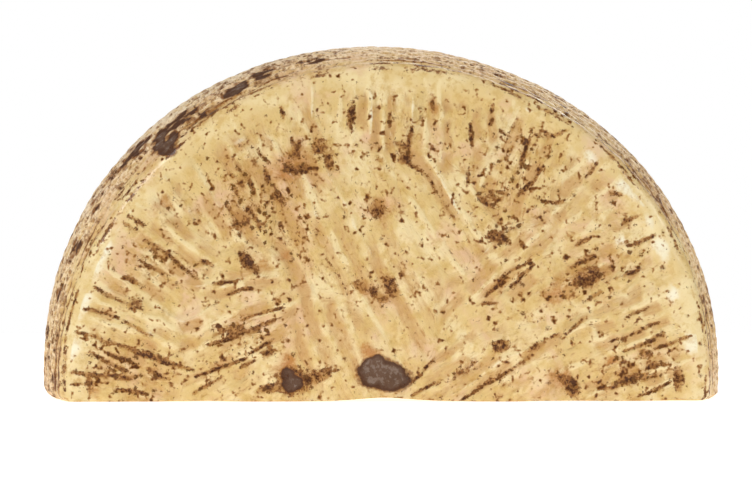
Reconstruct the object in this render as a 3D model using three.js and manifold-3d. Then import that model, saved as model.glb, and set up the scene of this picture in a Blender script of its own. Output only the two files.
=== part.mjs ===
// Half of a basket-moulded cheese wheel, standing on its cut face.
//
// The whole wheel is a drum with two flat faces and a rim that bulges between them. The soft basket that
// it was pressed in leaves it slightly out of round, and draws in one stretch of its front edge. A knife
// halves it, passing a little below its centre.
//
// Frame: +Z is up from the cut face, X runs along the cut, and Y is the wheel's own axis, with the front
// face towards -Y. The origin is in the middle of the cut face. Units are millimetres.

import * as THREE from "three";
import { mergeVertices } from "three/addons/utils/BufferGeometryUtils.js";
import Module from "manifold-3d";

// Driving dimensions.
const RIM_DIAMETER = 300; // the whole wheel at its fullest, midway between the faces
const THICKNESS = 110; // from one face to the other
const RIM_BULGE = 10; // how far the fullest part of the rim stands out past the edge of a face
const EDGE_RADIUS = 6; // rounding where a face turns into the rim
const CUT_DROP = 7.5; // how far below the wheel's centre the knife passed

// Slow waves round the rim: how many, how high, and the angle from +X at which one of them peaks, in degrees.
const LOBES = [
  { count: 2, height: 0.5, peak: 148 },
  { count: 3, height: 1.7, peak: 24 },
];

// The stretch of the front edge that is drawn in: how deep, and where its middle and its shoulders lie, in
// degrees from +X.
const DRAWN_IN = { depth: 7.5, middle: 137, spread: 24 };

// Fineness of the faceted surface.
const STEPS_AROUND = 144;
const STEPS_ON_EDGE = 3;
const STEPS_ON_RIM = 9;
const RINGS_ON_FACE = 3;

const wasm = await Module();
wasm.setup();

// The wheel's section from the middle of its front face to the middle of its back face, as (radius, height
// along the axis). The rim is one arc, and a smaller arc tangent to it and to the face rounds each edge.
function sectionPoints() {
  const radius = RIM_DIAMETER / 2;
  const half = THICKNESS / 2;
  const rimArc = (half ** 2 + RIM_BULGE ** 2) / (2 * RIM_BULGE);
  const rimArcCentre = radius - rimArc;
  const edgeOffset = Math.sqrt((rimArc - EDGE_RADIUS) ** 2 - (half - EDGE_RADIUS) ** 2);
  const edgeCentre = rimArcCentre + edgeOffset;
  const turn = Math.atan2(half - EDGE_RADIUS, edgeOffset);

  const frontEdge = new THREE.Path().absarc(edgeCentre, EDGE_RADIUS - half, EDGE_RADIUS, -Math.PI / 2, -turn);
  const rim = new THREE.Path().absarc(rimArcCentre, 0, rimArc, -turn, turn);
  const backEdge = new THREE.Path().absarc(edgeCentre, half - EDGE_RADIUS, EDGE_RADIUS, turn, Math.PI / 2);

  const faceRadii = [];
  for (let ring = 0; ring < RINGS_ON_FACE; ring++) faceRadii.push((edgeCentre * ring) / RINGS_ON_FACE);
  return [
    ...faceRadii.map((r) => new THREE.Vector2(r, -half)),
    ...frontEdge.getPoints(STEPS_ON_EDGE),
    ...rim.getPoints(STEPS_ON_RIM).slice(1, -1),
    ...backEdge.getPoints(STEPS_ON_EDGE),
    ...faceRadii.reverse().map((r) => new THREE.Vector2(r, half)),
  ];
}

// How far the rim stands out of round at an angle from +X, in radians.
function lobeHeight(angle) {
  const wave = (lobe) => lobe.height * Math.cos(lobe.count * (angle - THREE.MathUtils.degToRad(lobe.peak)));
  return LOBES.reduce((sum, lobe) => sum + wave(lobe), 0);
}

// How far the rim is drawn in at an angle and at a height along the axis: a bell-shaped stretch that is
// deepest at the front face and gone by the middle of the thickness.
function drawnInDepth(angle, axial) {
  const towardsFront = Math.max(0, -axial / (THICKNESS / 2));
  const turn = THREE.MathUtils.radToDeg(angle) - DRAWN_IN.middle;
  const away = (THREE.MathUtils.euclideanModulo(turn + 180, 360) - 180) / DRAWN_IN.spread;
  return DRAWN_IN.depth * towardsFront ** 2 * Math.exp((-away * away) / 2);
}

// The whole wheel. Every point moves towards or away from the axis by a share of its own radius, so each
// face stays flat.
function wheelGeometry() {
  const geometry = new THREE.LatheGeometry(sectionPoints(), STEPS_AROUND);
  const at = geometry.getAttribute("position");
  for (let i = 0; i < at.count; i++) {
    const angle = Math.atan2(at.getZ(i), at.getX(i));
    const swell = 1 + (lobeHeight(angle) - drawnInDepth(angle, at.getY(i))) / (RIM_DIAMETER / 2);
    at.setX(i, at.getX(i) * swell);
    at.setZ(i, at.getZ(i) * swell);
  }
  return geometry;
}

// The block of space below the knife, large enough to take everything under it.
function belowKnife() {
  const side = 2 * RIM_DIAMETER;
  return new THREE.BoxGeometry(side, side, side).translate(0, 0, -CUT_DROP - side / 2);
}

function solidFrom(geometry) {
  const bare = geometry.clone().deleteAttribute("normal").deleteAttribute("uv");
  const merged = mergeVertices(bare);
  const mesh = new wasm.Mesh({
    numProp: 3,
    vertProperties: merged.getAttribute("position").array,
    triVerts: new Uint32Array(merged.index.array),
  });
  return new wasm.Manifold(mesh);
}

function geometryFrom(solid) {
  const mesh = solid.getMesh();
  const geometry = new THREE.BufferGeometry();
  geometry.setAttribute("position", new THREE.BufferAttribute(mesh.vertProperties, 3));
  geometry.setIndex(new THREE.BufferAttribute(mesh.triVerts, 1));
  geometry.computeVertexNormals();
  return geometry;
}

// The half above the knife, moved so that its cut face lies on z = 0 with the origin in its middle.
function halfWheelGeometry() {
  const half = geometryFrom(solidFrom(wheelGeometry()).subtract(solidFrom(belowKnife())));
  half.computeBoundingBox();
  const { min, max } = half.boundingBox;
  return half.translate(-(min.x + max.x) / 2, -(min.y + max.y) / 2, -min.z);
}

const rind = new THREE.MeshStandardMaterial({ color: "#dfc285", roughness: 0.5, metalness: 0 });

const halfWheel = new THREE.Mesh(halfWheelGeometry(), rind);
halfWheel.name = "half_wheel";

const cheese = new THREE.Group();
cheese.add(halfWheel);

export default cheese;
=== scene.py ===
"""Half of a basket-moulded cheese wheel, standing on its cut face, on a pale studio floor.

The wheel's rind is one closed surface: a front face, a bulging rim, a back face and the knife's cut. Bundles
of rushes have pressed ribs and grooves into the faces, woven rows have marked the rim, and dark mould has
grown in the grooves. Lengths are metres, +Z is up from the cut face and the front face looks towards -Y.
"""

import functools
import itertools
import math
from types import SimpleNamespace

import bpy
import numpy as np
from bpy.props import FloatProperty, FloatVectorProperty, PointerProperty
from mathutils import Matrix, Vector
from mathutils.geometry import delaunay_2d_cdt


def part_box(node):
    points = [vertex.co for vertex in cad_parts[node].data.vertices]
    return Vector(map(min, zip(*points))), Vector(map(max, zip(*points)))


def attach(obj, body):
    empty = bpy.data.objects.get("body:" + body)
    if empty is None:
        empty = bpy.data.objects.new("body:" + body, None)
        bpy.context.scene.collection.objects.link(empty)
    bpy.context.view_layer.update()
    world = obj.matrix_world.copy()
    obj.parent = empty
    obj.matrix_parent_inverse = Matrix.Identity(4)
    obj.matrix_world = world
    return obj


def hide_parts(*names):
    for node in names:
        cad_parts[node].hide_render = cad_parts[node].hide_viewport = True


bl_info = {
    "name": "Half Cheese Wheel",
    "version": (1, 0, 0),
    "blender": (4, 5, 0),
    "location": "3D View > Sidebar > Cheese",
    "description": "Builds half of a basket-moulded cheese wheel and a plain studio round it",
    "category": "Add Mesh",
}

MM = 0.001
CAD_NODE = "half_wheel"

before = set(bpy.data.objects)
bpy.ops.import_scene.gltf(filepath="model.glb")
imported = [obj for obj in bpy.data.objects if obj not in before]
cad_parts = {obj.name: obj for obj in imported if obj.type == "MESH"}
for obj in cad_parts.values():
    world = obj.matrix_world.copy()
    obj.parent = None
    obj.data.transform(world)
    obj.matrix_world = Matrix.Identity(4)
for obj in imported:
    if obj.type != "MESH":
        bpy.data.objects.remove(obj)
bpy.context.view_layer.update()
NODE_LOW, NODE_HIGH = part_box(CAD_NODE)

# Slow waves round the rim that leave the wheel out of round: how many, how high in mm, and where one peaks.
LOBES = ((2, 0.5, 148.0), (3, 1.7, 24.0))
# The middle and the spread, in degrees from +X, of the stretch of front edge that is drawn in.
DRAWN_IN_MIDDLE = 137.0
DRAWN_IN_SPREAD = 24.0

# Fineness of the surface. The front face has twice as many steps round its edge as the rim and the back.
FRONT_COLUMNS = 296
BACK_COLUMNS = 148
ROUND_STEPS = 296
EDGE_STEPS = 5
RIM_STEPS = 108
CUT_SPACING = 2.6 * MM

# Bundles of rushes in the basket's bottom, in mm and degrees: the middle's x and z, the slope, half the
# length, half the width, the spacing of the rushes, and the spacing of the ties across them.
HANKS = (
    (-113, 24, -18, 34, 22, 7.5, 11),
    (-63, 24, 25, 32, 24, 7.0, 14),
    (-100, 62, -36, 34, 22, 7.5, 13),
    (-73, 92, -57, 30, 24, 8.0, 26),
    (-60, 52, 8, 18, 14, 6.5, 20),
    (-40, 118, -74, 22, 20, 7.0, 24),
    (-6, 125, 90, 18, 26, 6.5, 22),
    (32, 118, 91, 22, 22, 6.5, 18),
    (62, 100, 62, 26, 20, 7.0, 14),
    (94, 90, 44, 22, 22, 7.5, 12),
    (-14, 76, -62, 58, 30, 8.5, 60),
    (26, 82, -54, 34, 20, 8.0, 60),
    (56, 50, 43, 34, 22, 8.0, 24),
    (94, 60, 32, 30, 22, 7.0, 11),
    (110, 26, 20, 32, 22, 7.5, 11),
    (46, 12, 34, 34, 18, 7.5, 34),
    (-20, 24, -70, 26, 22, 9.0, 60),
    (-124, 7, -4, 14, 12, 6.0, 9),
)

# Grooves dark with mould on the front face, in mm: the x and z of both ends, then how dark, from 0 to 1.
DARK_GROOVES = {
    "lower left": (
        (-133, 31, -114, 25, 0.70), (-114, 25, -98, 18, 0.95), (-98, 18, -81, 14, 0.75),
        (-128, 40, -114, 37, 0.85), (-114, 37, -99, 28, 0.60), (-124, 50, -111, 43, 0.80),
        (-118, 21, -106, 16, 0.85), (-126, 21, -110, 13, 0.75), (-133, 13, -110, 11, 0.80),
        (-127, 12, -126, 2, 0.75), (-134, 8, -127, 8, 0.60), (-114, 10, -105, 11, 0.85),
        (-114, 5, -101, 3, 0.90), (-101, 14, -91, 10, 0.70),
    ),
    "left of the middle, low": (
        (-80, 11, -59, 19, 0.90), (-81, 3, -69, 11, 0.75), (-75, 24, -53, 32, 0.90),
        (-60, 36, -43, 41, 0.75), (-61, 30, -43, 36, 0.60), (-57, 21, -47, 27, 0.85),
        (-61, 15, -55, 18, 0.80), (-51, 5, -42, 8, 0.80), (-36, 10, -19, 14, 0.75),
    ),
    "left": (
        (-105, 61, -94, 56, 0.80), (-102, 70, -90, 62, 0.75), (-90, 62, -80, 53, 0.95),
        (-78, 61, -73, 58, 0.80), (-111, 54, -103, 51, 0.75), (-72, 51, -60, 53, 0.75),
        (-66, 47, -56, 49, 0.70), (-62, 64, -54, 55, 1.00), (-110, 80, -102, 76, 0.80),
        (-111, 77, -106, 74, 0.80),
    ),
    "upper left": (
        (-62, 102, -55, 91, 0.90), (-54, 109, -49, 103, 0.75), (-51, 100, -49, 95, 0.90),
        (-39, 114, -35, 105, 0.80), (-44, 127, -43, 122, 0.90), (-58, 84, -52, 75, 0.80),
        (-46, 91, -43, 86, 0.85), (-67, 85, -60, 76, 0.75),
    ),
    "top": (
        (3, 125, 3, 119, 0.90), (13, 119, 11, 106, 1.00), (6, 112, 10, 109, 0.80),
        (11, 103, 17, 100, 0.80), (17, 100, 24, 90, 0.45), (24, 90, 31, 79, 0.50),
        (39, 120, 39, 110, 0.90), (38, 101, 37, 93, 0.80), (48, 128, 48, 125, 0.80),
        (48, 122, 47, 119, 0.80), (51, 117, 56, 114, 0.70), (22, 130, 22, 126, 0.60),
        (-13, 127, -13, 116, 0.70),
    ),
    "upper right": (
        (66, 115, 74, 114, 0.75), (74, 114, 80, 117, 0.75), (63, 111, 60, 101, 0.95),
        (70, 101, 59, 89, 0.95), (47, 91, 54, 89, 0.80), (41, 89, 49, 83, 0.75),
        (66, 88, 75, 85, 0.75), (75, 85, 79, 87, 0.75), (88, 97, 93, 103, 0.80),
        (99, 91, 104, 89, 0.70), (104, 77, 111, 81, 0.75),
    ),
    "right": (
        (45, 46, 55, 56, 0.75), (55, 56, 65, 61, 0.80), (56, 50, 66, 59, 0.75),
        (44, 43, 50, 43, 0.70), (82, 58, 92, 63, 0.85), (84, 67, 91, 71, 0.85),
        (106, 67, 118, 72, 0.85), (104, 54, 111, 57, 0.80), (89, 44, 95, 48, 0.80),
        (105, 36, 115, 41, 0.70), (70, 26, 80, 30, 0.50), (80, 30, 87, 36, 0.65),
    ),
    "lower right": (
        (13, 2, 25, 9, 0.80), (13, 8, 17, 11, 0.70), (17, 11, 23, 19, 0.75),
        (35, 1, 55, 13, 0.75), (55, 13, 65, 20, 0.60), (99, 26, 120, 34, 0.75),
        (105, 22, 122, 29, 0.80), (119, 23, 134, 29, 0.90), (114, 14, 123, 16, 0.90),
        (94, 5, 107, 9, 0.85), (107, 9, 118, 11, 0.95), (111, 2, 124, 8, 0.90),
    ),
}

# A crack and a rush's long ridge near the middle, laid out as the grooves are.
FAINT_LINES = (
    (-24, 63, -18, 53, 0.55), (-18, 53, -15, 47, 0.45), (-15, 47, -13, 34, 0.35),
    (-13, 34, -9, 24, 0.30),
)

# Fins of curd squeezed up between two rushes of the front face, laid out the same way.
# The fins are coloured cream and pale, waxen as painted highlights.
RIDGES = (
    (-30, 136, -30, 122, 0.9), (-5, 134, -5, 116, 0.9), (13, 131, 13, 121, 0.9), (4, 117, 8, 104, 0.7),
    (22, 102, 33, 82, 1.0), (-50, 118, -36, 92, 0.6), (-84, 105, -70, 84, 0.7), (-94, 98, -80, 78, 0.6),
    (-24, 100, -4, 62, 0.7), (-36, 96, -18, 62, 0.6), (-13, 132, -14, 120, 0.6), (4, 132, 4, 124, 0.6),
    (96, 96, 102, 90, 0.5), (100, 52, 110, 58, 0.7), (-70, 58, -50, 54, 0.6), (-86, 50, -66, 50, 0.6),
    (30, 2, 54, 19, 0.7), (54, 19, 62, 22, 0.6), (18, 3, 38, 18, 0.6), (-112, 34, -88, 25, 0.7),
    (-104, 44, -82, 33, 0.6), (40, 60, 52, 72, 0.6), (60, 42, 76, 53, 0.6), (-40, 40, -58, 33, 0.5),
)

# Polished knobs on the front face's rounded edge, in mm and degrees: the middle's x and z, half the length,
# half the width, the slope, then how high, from 0 to 1.
# The knobs are coloured cream and pale, waxen as painted highlights, which also make the pale band along the
# left edge.
KNOBS = (
    (89, 106, 6.0, 2.6, -35, 0.9), (105, 92, 7.0, 3.0, -40, 1.0), (112, 87, 5.0, 2.6, -45, 0.7),
    (115, 78, 5.0, 3.2, -50, 0.7), (104, 70, 3.6, 2.8, 0, 0.9), (121, 66, 7.0, 3.6, -58, 1.0),
    (126, 47, 5.0, 3.6, -70, 0.8), (134, 26, 6.0, 4.4, -80, 1.0), (-101, 94, 9.0, 2.2, 48, 0.7),
    (-112, 80, 9.0, 2.6, 56, 0.8), (-121, 62, 11.0, 3.2, 64, 1.0), (-128, 42, 9.0, 3.4, 72, 0.8),
    (-133, 24, 7.0, 3.6, 80, 0.9), (-60, 113, 8.0, 1.6, 32, 0.5), (64, 126, 7.0, 1.6, -26, 0.5),
)

# Stretches of the front face that mould has dirtied, laid out as the patches below are.
DIRTY_STRETCHES = (
    (-52, 86, 34, 17, -50, 1.00), (-35, 105, 14, 10, 20, 1.00), (10, 108, 26, 12, 0, 0.60),
    (58, 95, 27, 18, 60, 0.90), (90, 55, 32, 14, 30, 0.80), (108, 15, 27, 12, 12, 0.80),
    (-112, 15, 26, 14, -15, 0.80), (-100, 60, 23, 12, -32, 0.65), (-62, 28, 24, 12, 22, 0.80),
    (0, 50, 16, 10, 0, 0.60), (-2, 84, 13, 10, 0, 0.70), (45, 12, 26, 9, 32, 0.50),
    (53, 52, 15, 9, 40, 0.60), (96, 84, 16, 10, 40, 0.45), (-88, 84, 16, 9, -30, 0.50),
    (22, 122, 30, 6, 0, 0.45),
)

# Patches of mould and stain on the front face, in mm and degrees: the middle's x and z, half the length,
# half the width, the slope, then how strong. Past 1, the full strength spreads out from the middle.
GREY_PATCHES = (
    (1, 11, 11.0, 6.8, -8, 1.50), (-3, 15, 5.6, 4.6, 0, 1.50), (-39, 8, 5.2, 3.8, -10, 1.00),
    (-41, 11, 3.0, 3.6, 0, 0.90),
)
BROWN_PATCHES = (
    (-9, 50, 4.0, 2.6, -20, 0.90), (4, 50, 2.8, 5.5, 10, 0.95), (-1, 46, 5.0, 2.2, -30, 0.80),
    (-63, 31, 5.0, 3.2, 25, 0.90), (128, 10, 2.4, 6.5, 0, 0.95), (114, 21, 3.2, 2.4, 0, 0.80),
    (-27, 110, 3.8, 4.2, 0, 0.95), (-23, 103, 2.2, 4.4, 15, 0.95), (-37, 100, 7.0, 2.6, 0, 0.90),
    (-2, 83, 4.2, 3.6, 0, 0.85), (-44, 88, 3.6, 2.2, -50, 1.00), (-60, 79, 4.5, 5.5, -30, 0.70),
    (-37, 108, 2.6, 6.5, -15, 0.80), (-107, 42, 5.0, 3.0, -30, 0.75), (35, 14, 9.0, 2.0, 35, 0.55),
    (10, 105, 4.0, 3.0, 30, 0.80), (-49, 22, 4.0, 2.4, 30, 0.85), (-126, 8, 2.0, 5.0, 0, 0.75),
    (47, 88, 4.0, 1.8, 20, 0.65), (-48, 6, 6.0, 2.2, 15, 1.00), (-29, 11, 9.0, 3.0, 20, 1.15),
    (89, 54, 6.5, 4.0, 25, 1.25), (83, 6, 3.2, 4.4, 20, 1.50), (78, 10, 5.0, 2.0, -25, 1.00),
    (50, 71, 5.5, 3.0, -20, 1.20), (-13, 123, 2.2, 6.0, 0, 1.10), (67, 24, 4.0, 1.8, 35, 1.00),
    (51, 24, 4.0, 2.6, 20, 1.20), (-58, 60, 6.5, 2.5, -48, 1.15), (107, 9, 10.0, 2.2, 14, 1.05),
    (-97, 19, 9.0, 1.8, -20, 0.95), (-38, 9, 8.5, 6.5, 10, 1.15),
)
RUST_PATCHES = (
    (-40, 101, 10.0, 7.0, 20, 0.85), (74, 46, 9.0, 5.5, 40, 0.75), (99, 18, 6.0, 2.2, 15, 0.90),
    (78, 10, 7.0, 5.0, -30, 0.80), (-42, 63, 5.5, 2.6, 15, 0.80), (-95, 84, 8.0, 5.0, 10, 0.60),
    (-41, 17, 9.0, 4.0, 20, 0.75), (0, 12, 14.0, 10.0, 0, 0.55), (89, 52, 9.0, 5.0, 30, 0.60),
    (0, 84, 7.0, 5.0, 0, 0.60), (-8, 49, 8.0, 5.0, -20, 0.55), (-126, 8, 8.0, 6.0, 0, 0.55),
    (-62, 32, 8.0, 5.0, 25, 0.60), (22, 128, 3.0, 5.0, 0, 0.60), (84, 52, 9.0, 6.0, 30, 0.45),
    (-100, 24, 8.0, 3.0, -25, 0.40), (36, 101, 4.0, 6.0, 0, 0.50), (-55, 62, 10.0, 5.0, -40, 0.50),
    (112, 12, 10.0, 4.0, 15, 0.45), (61, 92, 8.0, 6.0, 45, 0.40), (-62, 78, 9.0, 8.0, -30, 0.45),
    (-5, 21, 7.0, 5.0, -30, 1.00), (-41, 16, 4.0, 6.0, 20, 0.90),
)
# Patches of mould on the rim: the angle round it in degrees, the distance from the front face, half the
# length round it and half the width, in mm, then how strong.
RIM_PATCHES = (
    (132, 17, 6.5, 12.0, 1.20), (127, 24, 9.0, 7.0, 0.90), (137, 32, 10.0, 7.0, 0.85),
    (116, 20, 7.0, 9.0, 0.80), (111, 27, 6.0, 9.0, 0.72), (122, 13, 7.0, 4.0, 0.75),
    (148, 30, 4.0, 8.0, 0.45), (156, 26, 5.0, 7.0, 0.50), (165, 30, 4.0, 9.0, 0.45),
    (66, 14, 9.0, 2.5, 0.55), (100, 20, 10.0, 2.5, 0.55), (32, 66, 9.0, 5.0, 0.70),
    (160, 78, 12.0, 5.0, 0.75), (88, 70, 8.0, 6.0, 0.70), (54, 92, 11.0, 4.0, 0.70),
)

# Seams of mould round the rim, in mm from the front face.
RIM_SEAMS = (4, 8.5, 13)
# The rim's dusty stretch: its middle and its spread, across the rim in shares of its width, and round it in
# radians from +X.
DUST_ACROSS, DUST_SPREAD_ACROSS = 0.42, 0.2
DUST_ROUND, DUST_SPREAD_ROUND = 2.2, 0.9
# Short grooves strewn over each face, besides those above.
SCATTERED_GROOVES = 300

# The ends of the cut, worn round: how far in at the bottom, and how high on the left and on the right.
WORN_RUN = 5.5 * MM
WORN_LEFT = 4.5 * MM
WORN_RIGHT = 2.2 * MM

# Spacing of the strands in the rim's plait.
STRAND_SPACING = 3.4 * MM
# Layers of mould dots: the spacing in mm, the share of cells with a dot everywhere, what dirt and what mould
# add to it, and the largest dot in cells. The smallest is the same in every layer.
MOULD_DOTS = ((1.7, 0.06, 0.26, 0.40, 0.46), (2.8, 0.10, 0.30, 0.30, 0.50), (5.5, 0.14, 0.16, 0.10, 0.34))
SMALLEST_DOT = 0.22

HOLLOW_SEED = 5
GROOVE_SEED = 11
HANK_SEED = 23

# What the surface stores of its finish at each point, for the rind's material.
FINISHES = (
    "tone", "mould", "rust", "grey", "dirt", "crest", "wax_and_highlight", "pressed", "along", "across", "dust", "rim",
)

# Settings of the material nodes that climb smoothly between two values and that lay one colour on another.
SMOOTH = {"interpolation_type": "SMOOTHSTEP"}
COLOUR_MIX = {"data_type": "RGBA", "output": 2}

# Soft lights aimed at the wheel: the name, the place in metres, the size, and the watts.
LIGHTS = (
    ("key_left", (-1.15, -0.6, 0.95), 0.4, 9.8),
    ("fill_right", (1.15, -0.7, 0.7), 0.35, 5.0),
    ("top", (0, -0.35, 1.5), 0.9, 5.5),
    ("back", (0.3, 1.35, 0.6), 0.8, 7.0),
)
ROOM_LIGHT = 0.25
# The camera looks at a point this far along X, a little left of the wheel's middle.
AIM_SIDE = -2.1 * MM
SENSOR_WIDTH = 36  # of the camera, in mm


def linear(hex_colour):
    """An sRGB hex colour as linear red, green and blue, and full alpha: c / 12.92 below 0.04045, else
    ((c + 0.055) / 1.055) ^ 2.4."""
    channels = [int(hex_colour[i : i + 2], 16) / 255 for i in (1, 3, 5)]
    return (*(c / 12.92 if c <= 0.04045 else ((c + 0.055) / 1.055) ** 2.4 for c in channels), 1.0)


def length(name, description, default):
    """A length property of a size group."""
    return FloatProperty(
        name=name, description=description, default=default, min=0.0, unit="LENGTH", precision=4
    )


def colour(name, description, hex_colour):
    """A colour property of a finish group, from an sRGB hex value."""
    return FloatVectorProperty(
        name=name, description=description, default=linear(hex_colour), size=4, min=0, max=1, subtype="COLOR"
    )


class WheelSizes(bpy.types.PropertyGroup):
    """Sizes of the wheel and of the marks pressed into it"""

    radius: length("Radius", "Of the whole wheel at its fullest", (NODE_HIGH.x - NODE_LOW.x) / 2)
    thickness: length("Thickness", "From the front face to the back face", NODE_HIGH.y - NODE_LOW.y)
    height: length("Height", "From the cut to the top of the rim", NODE_HIGH.z - NODE_LOW.z)
    bulge: length("Rim bulge", "How far the rim's middle stands out past the edge of a face", 10 * MM)
    edge_radius: length("Edge radius", "Rounding where a face turns into the rim", 6 * MM)
    drawn_in: length("Drawn in", "How deep the front edge is drawn in at the upper left", 7.5 * MM)
    groove_depth: length("Groove depth", "Of the grooves between the rushes on a face", 1.3 * MM)
    rim_depth: length("Rim weave depth", "Of the grooves between the woven rows of the rim", 1.0 * MM)
    row_spacing: length("Row spacing", "Between the woven rows of the rim", 5.2 * MM)
    stake_spacing: length("Stake spacing", "Between the upright stakes that the rows weave round", 12 * MM)
    cut_rise: length("Cut rise", "How far the knife's cut is hollowed", 1.4 * MM)


class CheeseColours(bpy.types.PropertyGroup):
    """Colours of the rind, of the mould on it and of the paste"""

    straw: colour("Straw", "The rind where it stands proud", "#dfc182")
    # Cream also paints highlights on rib crests, fins, knobs and the smooth edges.
    cream: colour("Cream", "The palest patches of the rind", "#efdaa7")
    tan: colour("Tan", "The rind where the rushes pressed it down", "#cba067")
    rosy: colour("Rosy", "The rind where it dried without oil", "#e2b996")
    # A pale, waxen colour that paints highlights on knobs and fins, and pale spots by the back edge.
    wax_and_highlight: colour("Wax", "Knobs polished by the basket", "#f7efd4")
    dust: colour("Dust", "Dry bloom on the rim's fullest part", "#e8d8bd")
    rim_beige: colour("Rim beige", "The rim's paler strands", "#f4dbb2")
    rim_tan: colour("Rim tan", "The rim's darker strands", "#d0aa7c")
    ochre: colour("Ochre", "Yellow stains in small clouds", "#cfa657")
    rust: colour("Rust", "Orange stains round the mould", "#b56f2e")
    soft_brown: colour("Soft brown", "The faint stain along a mouldy groove", "#b07e42")
    brown: colour("Brown", "Thin mould", "#834f1e")
    dark_brown: colour("Dark brown", "Thick mould in the grooves and dots", "#4a2506")
    grey_mould: colour("Grey mould", "Mould in the large patches", "#614838")
    olive_brown: colour("Olive brown", "Single dots of mould", "#6a4314")
    pale_bloom: colour("Pale bloom", "Spores on the large patches", "#8d7a6c")
    paste: colour("Paste", "The cut cheese", "#ecd9a4")
    paste_edge: colour("Paste edge", "The cut cheese close under the rind", "#cfa765")


class StudioSizes(bpy.types.PropertyGroup):
    """The camera, the lights and the floor"""

    camera_distance: length("Camera distance", "From the wheel's axis", 1.5)
    camera_height: length("Camera height", "Above the floor", 0.0856)
    camera_turn: FloatProperty(
        name="Camera turn", description="Round the wheel, from straight in front", default=math.radians(-1.0),
        subtype="ANGLE",
    )
    camera_lens: FloatProperty(name="Lens", description="Focal length in millimetres", default=160.6, min=1.0)
    aim_height: length("Aim height", "Of the point that the camera looks at", 0.0650)
    floor_size: length("Floor size", "Of the pale floor, from side to side", 1.4)
    floor_colour: colour("Floor", "The paper under the wheel", "#fafafa")


def lattice_noise(points, size, seed):
    """Value noise from -1 to 1: random values on a cubic lattice of the given size, joined by 3t^2 - 2t^3."""
    values = np.random.default_rng(seed).uniform(-1, 1, (32, 32, 32))
    scaled = points / size
    cell = np.floor(scaled).astype(int)
    step = scaled - cell
    ease = step * step * (3 - 2 * step)
    total = np.zeros(len(points))
    for corner in itertools.product((0, 1), repeat=3):
        share = np.prod(np.where(corner, ease, 1 - ease), axis=1)
        total += share * values[tuple(((cell + corner) % 32).T)]
    return total


def rough_noise(points, size, seed, octaves=3):
    """Value noise in octaves: each one half the size and half the height of the one before."""
    layers = [lattice_noise(points, size / 2**k, seed + k) / 2**k for k in range(octaves)]
    return sum(layers) / (2 - 0.5 ** (octaves - 1))


def rise(value, low, high):
    """0 below low and 1 above high, with 3t^2 - 2t^3 in between."""
    t = np.clip((value - low) / (high - low), 0, 1)
    return t * t * (3 - 2 * t)


def turned(x, z, slope):
    """Coordinates along and across a line of the given slope in degrees."""
    c, s = math.cos(math.radians(slope)), math.sin(math.radians(slope))
    return x * c + z * s, z * c - x * s


def swell(sizes, angle, axial):
    """How much the rim stands out of round: 1 + (waves - drawn-in stretch) / radius, for an angle from +X."""
    waves = sum(h * MM * np.cos(count * (angle - math.radians(peak))) for count, h, peak in LOBES)
    towards_front = np.maximum(0, -axial / (sizes.thickness / 2))
    away = (np.degrees(angle) - DRAWN_IN_MIDDLE) / DRAWN_IN_SPREAD
    drawn_in = sizes.drawn_in * towards_front**2 * np.exp(-away * away / 2)
    return 1 + (waves - drawn_in) / sizes.radius


def section(sizes):
    """The wheel's section from the front face's edge to the back face's, as radius, height along the axis,
    the direction that the surface faces, and the distance along it.

    The rim is one arc through the bulge, and a smaller arc tangent to it and to the face rounds each edge.
    The surface at an arc's angle a faces (cos a, sin a).
    """
    half = sizes.thickness / 2
    rim_arc = (half**2 + sizes.bulge**2) / (2 * sizes.bulge)
    rim_centre = sizes.radius - rim_arc
    offset = math.sqrt((rim_arc - sizes.edge_radius) ** 2 - (half - sizes.edge_radius) ** 2)
    turn = math.atan2(half - sizes.edge_radius, offset)

    edge = np.linspace(-math.pi / 2, -turn, EDGE_STEPS + 1)
    rim = np.linspace(-turn, turn, RIM_STEPS + 1)[1:-1]
    facing = np.concatenate([edge, rim, -edge[::-1]])
    on_edge = np.abs(facing) >= turn - 1e-9
    reach = np.where(on_edge, sizes.edge_radius, rim_arc)
    side = np.where(on_edge, np.sign(facing) * (half - sizes.edge_radius), 0)
    radius = np.where(on_edge, rim_centre + offset, rim_centre) + reach * np.cos(facing)
    axial = side + reach * np.sin(facing)
    travelled = np.concatenate([[0], np.cumsum(np.hypot(np.diff(radius), np.diff(axial)))])
    return radius, axial, facing, travelled


def round_the_rim(sizes, radius, axial, share):
    """Points at a share, from 0 at the right to 1 at the left, of the way over the top of the wheel.

    The angle runs from where the circle leaves the cut, -asin(drop / radius), to the same on the left, and
    a point stands at radius * swell from the axis, which is a drop above the cut.
    """
    top = sizes.radius * swell(sizes, np.array(math.pi / 2), np.array(0.0))
    drop = sizes.height - top
    start = -np.arcsin(drop / radius)
    angle = start + (math.pi - 2 * start) * share
    out = radius * swell(sizes, angle, axial)
    points = np.stack([out * np.cos(angle), axial + 0 * angle, out * np.sin(angle) + drop], axis=-1)
    points[..., 2] = np.where((share <= 0) | (share >= 1), 0, points[..., 2])
    return points, angle


def half_disc(columns):
    """A grid over a half disc, as the reach from its middle and the share of its arc, both from 0 to 1.

    A rectangle twice as wide as high is laid on the half disc by rings: reach = max(|a|, b), and the share
    runs evenly along each ring, so the cells stay nearly square.
    """
    a, b = np.meshgrid(np.linspace(-1, 1, columns + 1), np.linspace(0, 1, columns // 2 + 1))
    reach = np.maximum(np.abs(a), b)
    safe = np.where(reach > 0, reach, 1)
    over = 0.5 - a / safe / 4
    beside = np.where(a > 0, b / safe / 4, 1 - b / safe / 4)
    return reach, np.where(b >= np.abs(a), over, beside)


def loop_of(grid):
    """The vertices of a half disc's arc, from the right corner over the top to the left one."""
    return np.concatenate([grid[:, -1], grid[-1, -2::-1], grid[-2::-1, 0]])


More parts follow.
